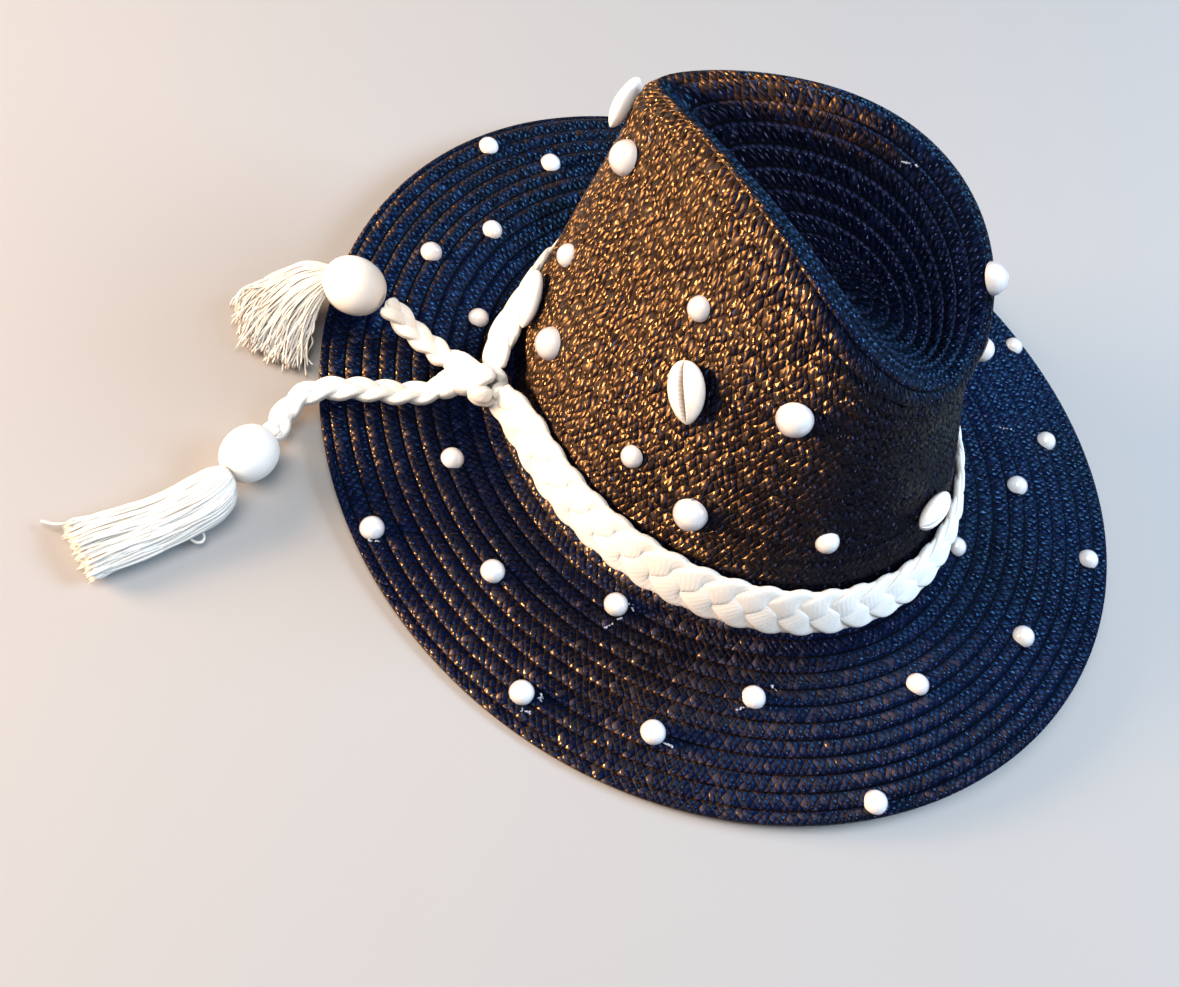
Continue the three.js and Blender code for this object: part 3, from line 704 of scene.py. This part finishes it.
# The same place for each cowrie, its length, width and height in mm, and how far it is turned in degrees.
SHELLS = {
    "shell_side": (147.8, 89.3, 22.5, 14.5, 7.6, 32),
    "shell_front_low": (108.6, 30.5, 22.5, 14.5, 7.6, 46),
    "shell_front_top": (180.5, 1.5, 20, 13.5, 7, 45),
    "shell_back": (116, 173, 20, 13.5, 7, -90),
}
GLUE_GAP = 0.35  # a glued piece stands this far off the straw, in mm
PEARL_CUT = 0.0004  # a half pearl is cut this far over its middle, in metres
TEETH = 15  # of a cowrie, in its whole length


def reach_round(path):
    """About how far the straw is from the hat's axis, in mm."""
    return np.interp(path, STATIONS, RINGS[:, 1])


def seat(path, degrees, foot):
    """Where a glued piece sits: its own +Z out of the straw, +Y up the crown, clear of the straw at its foot."""
    angle = math.radians(degrees)
    centre = straw_points(np.array(float(path)), np.array(angle))
    out = straw_normals(np.array(float(path)), np.array(angle))
    up = unit(straw_points(np.array(path + 1.0), np.array(angle)) - centre)
    side = unit(np.cross(up, out))
    up = np.cross(out, side)
    turn = np.linspace(0, 2 * np.pi, 16, endpoint=False)
    near = straw_points(path + foot * np.sin(turn), angle + foot * np.cos(turn) / max(reach_round(path), 20))
    lift = max(0.0, float(((near - centre) @ out).max())) + GLUE_GAP * MM
    turned = Matrix((side, up, out)).transposed().to_4x4()
    return Matrix.Translation(Vector(centre + out * lift)) @ turned


def apply_place(piece, place):
    piece.data.transform(place)
    piece.data.update()


def half_pearl(name, diameter):
    deselect()
    bpy.ops.mesh.primitive_uv_sphere_add(segments=32, ring_count=20, radius=diameter * MM / 2)
    pearl = bpy.context.object
    pearl.name = pearl.data.name = name
    bpy.ops.object.mode_set(mode="EDIT")
    bpy.ops.mesh.select_all(action="SELECT")
    bpy.ops.mesh.bisect(plane_co=(0, 0, PEARL_CUT), plane_no=(0, 0, 1), use_fill=True, clear_inner=True)
    bpy.ops.mesh.select_all(action="SELECT")
    bpy.ops.transform.translate(value=(0, 0, -PEARL_CUT))
    bpy.ops.object.mode_set(mode="OBJECT")
    deselect()
    pearl.select_set(True)
    bpy.context.view_layer.objects.active = pearl
    bpy.ops.object.shade_smooth_by_angle(angle=math.radians(50))
    return pearl


def make_pearls():
    for prefix, rows in PEARLS.items():
        for i, (path, degrees, diameter) in enumerate(rows):
            node = f"{prefix}_{i + 1}"
            pearl = half_pearl("glued_" + node, diameter)
            apply_place(pearl, seat(path, degrees, diameter / 2))
            finish_piece(pearl, "pearl", PEARL, node)


make_pearls()


def cowrie(name, length, width, height, turn):
    """A cowrie with its opening out: an egg-shaped back, two toothed lips and a curved slit between them."""
    columns, rows = 72, 96
    around = np.linspace(0, 2 * np.pi, rows + 1)[None, :]
    lift = np.linspace(0, np.pi, columns + 1)[:, None]
    wide = np.sin(lift) ** (1.12 + 0.18 * np.cos(lift))
    body = 1 - 0.14 * np.cos(lift)
    x = width / 2 * wide * np.cos(around) * body
    y = -length / 2 * np.cos(lift) + 0 * around
    z = height * 0.5 * (1 + wide * np.sin(around))
    across = np.cos(around) * body
    top = np.clip(np.sin(around), 0, 1)
    curve = 0.1 * np.sin(lift * 1.4 + 0.4)
    off = across - curve
    slit = np.exp(-((off / 0.1) ** 2)) * top**0.3 * np.clip(np.sin(lift) * 2.2, 0, 1)
    lips = np.exp(-((np.abs(off) - 0.2) / 0.16) ** 2) * top * wide
    teeth = 0.5 + 0.5 * np.cos(y / length * 2 * np.pi * TEETH)
    groove = teeth * np.exp(-((np.abs(off) - 0.17) / 0.1) ** 2) * top * np.clip(np.sin(lift) * 2 - 0.5, 0, 1)
    z = z + height * (0.06 * lips - 0.34 * slit - 0.035 * groove)
    points = np.stack(np.broadcast_arrays(x, y, z), axis=-1) * MM
    points[:, -1] = points[:, 0]
    # How far the painted shade goes: fully down the slit, about a third in the grooves between the teeth.
    deep = np.clip(slit * 1.3 + groove * 0.35, 0, 1)
    uv = np.stack(np.broadcast_arrays(lift / np.pi, deep), axis=-1)
    shell = woven_grid(name, points, uv)
    apply_place(shell, Matrix.Rotation(math.radians(turn), 4, "Z"))
    return shell


def make_shells():
    for node, (path, degrees, length, width, height, turn) in SHELLS.items():
        shell = cowrie("cowrie_" + node, length, width, height, turn)
        apply_place(shell, seat(path, degrees, 0.3 * width))
        finish_piece(shell, "shell", SHELL, node)


make_shells()

# Marks of dried glue beside the pearls: place in mm and degrees as above, length in mm, direction in degrees.
GLUE = [
    (8.0, 94.0, 4.5, 20), (14.5, 94.2, 5.5, 110), (53.4, 97.0, 5.0, 70), (61.9, 99.0, 3.5, 150),
    (5.5, 64.0, 4.0, 60), (184.6, 36.2, 3.5, 95), (209.5, -98.0, 3.0, 40), (41.4, 123.5, 4.5, 30),
    (50.4, 128.5, 4.0, 130), (20.5, 112.0, 4.0, 0), (37.4, -133.8, 4.5, 80), (117.2, 101.8, 3.5, 100),
]


FLECKS = 4  # flecks in one mark
GLUE_HEIGHT = 1.15  # over the straw's face, in mm: just on the rows


def make_glue():
    """Each mark is a few short flecks, strewn along its direction."""
    rng = np.random.default_rng(7)
    threads = []
    for k in range(FLECKS * len(GLUE)):
        path, degrees, length, way = GLUE[k // FLECKS]
        s = np.linspace(-0.5, 0.5, 12)
        away, size = rng.normal(0, 0.36 * length), length * rng.uniform(0.08, 0.5)
        way = math.radians(way)
        turn = way + rng.normal(0, 0.9) + s * rng.normal(0, 1.2)
        up = path + away * math.sin(way) + size * s * np.sin(turn)
        round_it = np.radians(degrees) + (away * math.cos(way) + size * s * np.cos(turn)) / reach_round(path)
        line = raised(up, round_it, GLUE_HEIGHT)
        thick = np.interp(s, [-0.5, -0.1, 0.2, 0.5], rng.uniform(0.25, 0.9, 4)) * MM
        threads.append(strand(f"glue_{k}", line, straw_normals(up, round_it), thick, 0.6 * thick, 8))
    finish_piece(joined("glue_marks", threads), "pearl", GLUE_CLEAR)


make_glue()

# ---------------------------------------------------------------- beads and tassels

# Each bead's middle, its length and width in mm, and its turn and tilt in degrees.
BEADS = {
    "bead_upper": (68.6, -145.2, 23.3, 25.5, 22.4, -82, -4),
    "bead_lower": (146, -126.8, 10.8, 23, 20.4, 2, 6),
}


def make_beads():
    for node, (x, y, z, length, width, turn, tip) in BEADS.items():
        lift = np.linspace(0, np.pi, 49)[:, None]
        around = np.linspace(0, 2 * np.pi, 49)[None, :]
        hole = np.clip(1 - np.sin(lift) / 0.17, 0, 1)
        wide = np.sin(lift) ** 0.92 * (1 + 0.012 * np.sin(3 * around + 1))
        along = -np.cos(lift) * (1 - 0.1 * hole**0.5)
        sideways, upwards = wide * np.cos(around) * width / 2, wide * np.sin(around) * width / 2
        points = np.stack(np.broadcast_arrays(along * length / 2, sideways, upwards), axis=-1) * MM
        points[:, -1] = points[:, 0]
        uv = np.stack(np.broadcast_arrays(lift / np.pi, around / (2 * np.pi)), axis=-1)
        bead = woven_grid("oval_" + node, points, uv)
        turned = Matrix.Rotation(math.radians(turn), 4, "Z") @ Matrix.Rotation(math.radians(-tip), 4, "Y")
        apply_place(bead, Matrix.Translation(Vector((x, y, z)) * MM) @ turned)
        finish_piece(bead, "bead", WOOD, node)


make_beads()

# Each tassel's two outlines and its middle, seen from above, then its height over the floor and half its depth,
# all in mm. wave and frizz say how far its threads wander, and thick is a thread's thickness in metres.
TASSELS = {
    "tassel_upper": {
        "left": [
            (66.2, -157.0), (68.3, -163.6), (71.2, -168.6), (75.7, -172.1),
            (81, -175.3), (86.2, -178.6), (91.3, -178.9), (96.4, -177.1),
        ],
        "middle": [
            (71, -155.5), (76.2, -157.6), (81.1, -160.3), (86.4, -162),
            (91.7, -163), (96.8, -163.5), (101.4, -163), (106.1, -161.5),
        ],
        "right": [
            (76, -151.4), (81.2, -150.2), (84.9, -149), (87.9, -147.6),
            (91, -146.2), (94, -144.6), (96.6, -143), (99, -141),
        ],
        "height": [20.5, 20, 18.5, 16, 13, 9.6, 6.4, 3.8],
        "deep": [4.4, 4.6, 4.4, 4, 3.6, 3, 2.4, 2],
        "threads": 460, "wave": 2.0, "frizz": 2.8, "thick": 0.0008,
    },
    "tassel_lower": {
        "left": [
            (156.2, -128.6), (161.2, -133), (167.7, -135.2), (174.5, -136.4),
            (182.3, -139.4), (190.9, -144.2), (200.8, -149.9), (208.9, -153.6),
        ],
        "middle": [
            (157.6, -124.5), (162.8, -124.4), (169.5, -125), (176.6, -126.9),
            (185.3, -130.1), (195.1, -134.6), (205.2, -139.7), (213.1, -142.8),
        ],
        "right": [
            (158.6, -121), (163.8, -116.6), (170.6, -115.8), (178.6, -118),
            (188.3, -120.9), (199.3, -125.1), (210, -129.4), (217.1, -132.1),
        ],
        "height": [10.2, 9.8, 9, 8, 7.2, 6.6, 6, 5.4],
        "deep": [5, 6.4, 6.8, 6.4, 5.8, 5.2, 4.6, 4.2],
        "threads": 560, "wave": 1.5, "frizz": 0.8, "thick": 0.00115,
    },
}
LOWEST_THREAD = 0.0009
STRAY = [(196, -146, 7), (204, -151, 6), (209.6, -155.5, 5), (212, -161.5, 3)]
STRAY_THICK = 0.0012


def thread_line(t, rng):
    """The line of one thread. It keeps its place between the outlines, and wanders more toward its tip."""
    left, middle, right = (np.column_stack([t[key], t["height"]]) for key in ("left", "middle", "right"))
    share = np.linspace(0, 1, len(left))
    s = np.linspace(0, 1, 22)
    radius, turn = rng.random() ** 0.4, rng.uniform(0, 2 * np.pi)
    u, v = 0.5 + 0.5 * radius * np.cos(turn), radius * np.sin(turn)
    rows = left * ((1 - u) * (1 - 2 * u)) + middle * (4 * u * (1 - u)) + right * (u * (2 * u - 1))
    reach = s * (1 + rng.normal(0, 0.006 * (1 + t["frizz"])))
    line = np.stack([np.interp(reach, share, rows[:, i]) for i in range(3)], axis=1)
    line[1:-1] = (line[:-2] + 2 * line[1:-1] + line[2:]) / 4
    line[:, 2] += v * np.interp(s, share, t["deep"])
    line = line * MM
    for _ in range(3):
        swing = rng.normal(0, 0.00032 * t["wave"], 3)
        line = line + swing * (np.sin(s * rng.uniform(3, 14) + rng.uniform(0, 6)) * s)[:, None]
    line = line + rng.normal(0, 0.0007 * t["frizz"], 3) * (s**3)[:, None]
    line[:, 2] = np.maximum(line[:, 2], LOWEST_THREAD)
    return line


def loose_ends():
    """A stray thread and a loop that stand out of the lower tassel."""
    stray = smooth_line(np.array(STRAY) * MM, 0.0008)
    turn = np.linspace(-0.6, np.pi + 0.6, 24)
    x, y, z = 180.5 + 2.4 * np.cos(turn), -119.6 + 3.2 * np.sin(turn), 4 - 0.5 * np.sin(turn)
    loop = np.stack([x, y, z], axis=1) * MM
    return [
        strand(name, line, np.broadcast_to(UP, line.shape), STRAY_THICK, STRAY_THICK, 6, 0.5)
        for name, line in (("stray", stray), ("loop", loop))
    ]


def make_tassels():
    for number, (node, t) in enumerate(TASSELS.items()):
        rng = np.random.default_rng(40 + number)
        pieces = []
        for k in range(t["threads"]):
            line = thread_line(t, rng)
            up = np.broadcast_to(UP, line.shape)
            pieces.append(strand(f"thread_{k}", line, up, t["thick"], t["thick"], 5, 0.5))
        if node == "tassel_lower":
            pieces += loose_ends()
        finish_piece(joined("frayed_" + node, pieces), "cotton", YARN, node)


make_tassels()

float(lengths_of(smooth_line(UPPER_TAIL, 0.0005))[-1])
float(lengths_of(smooth_line(LOWER_TAIL, 0.0005))[-1])

# ---------------------------------------------------------------- floor and light


def make_floor():
    deselect()
    bpy.ops.mesh.primitive_plane_add(size=8)
    floor = bpy.context.object
    floor.name = "floor"
    n = Nodes("pale_floor")
    n.set(Base_Color=(0.36, 0.345, 0.33, 1), Roughness=0.85)
    floor.data.materials.append(n.material)


make_floor()


# Name, place, target, size, power and colour. With INCLUDE a lamp lights the straw alone, and with EXCLUDE all
# but the straw.
LAMPS = [
    ("warm_side", (0.66, -0.98, 0.40), (0, 0, 0.07), (0.5, 0.4), 28, (1.0, 0.68, 0.44), "EXCLUDE"),
    ("cool_back", (-0.75, 0.95, 1.0), (0, 0, 0.06), (0.9, 0.7), 40, (0.55, 0.76, 1.0), "EXCLUDE"),
    ("soft_top", (0.5, -0.3, 1.6), (0, 0, 0), (1.1, 1.1), 27, (1.0, 0.97, 0.94), "EXCLUDE"),
    ("straw_glow", (0.59, -0.87, 0.09), (0, 0, 0.08), (0.6, 0.14), 380, (1.0, 0.4, 0.11), "INCLUDE"),
    ("straw_sky", (-1.2, 0.05, 0.95), (0, 0, 0.03), (0.8, 0.7), 62, (0.15, 0.46, 1.0), "INCLUDE"),
    ("straw_rim", (0.85, 0.5, 1.0), (0, 0, 0.13), (0.4, 0.4), 34, (0.42, 0.5, 1.0), "INCLUDE"),
]


def add_lamp(name, place, target, size, power, colour, state):
    data = bpy.data.lights.new(name, "AREA")
    data.shape = "RECTANGLE"
    data.size, data.size_y = size
    data.energy = power
    data.color = colour
    lamp = bpy.data.objects.new(name, data)
    lamp.location = place
    lamp.rotation_euler = (Vector(target) - Vector(place)).to_track_quat("-Z", "Y").to_euler()
    bpy.context.collection.objects.link(lamp)
    lit = bpy.data.collections.new(name + "_lights")
    lit.objects.link(straw)
    lit.collection_objects[0].light_linking.link_state = state
    lamp.light_linking.receiver_collection = lit


def light_room():
    world = bpy.data.worlds.new("room")
    world.use_nodes = True
    background = world.node_tree.nodes["Background"]
    background.inputs["Color"].default_value = (0.62, 0.74, 1.0, 1)
    background.inputs["Strength"].default_value = 0.16
    bpy.context.scene.world = world
    bpy.context.scene.view_settings.view_transform = "Standard"
    for lamp in LAMPS:
        add_lamp(*lamp)


light_room()
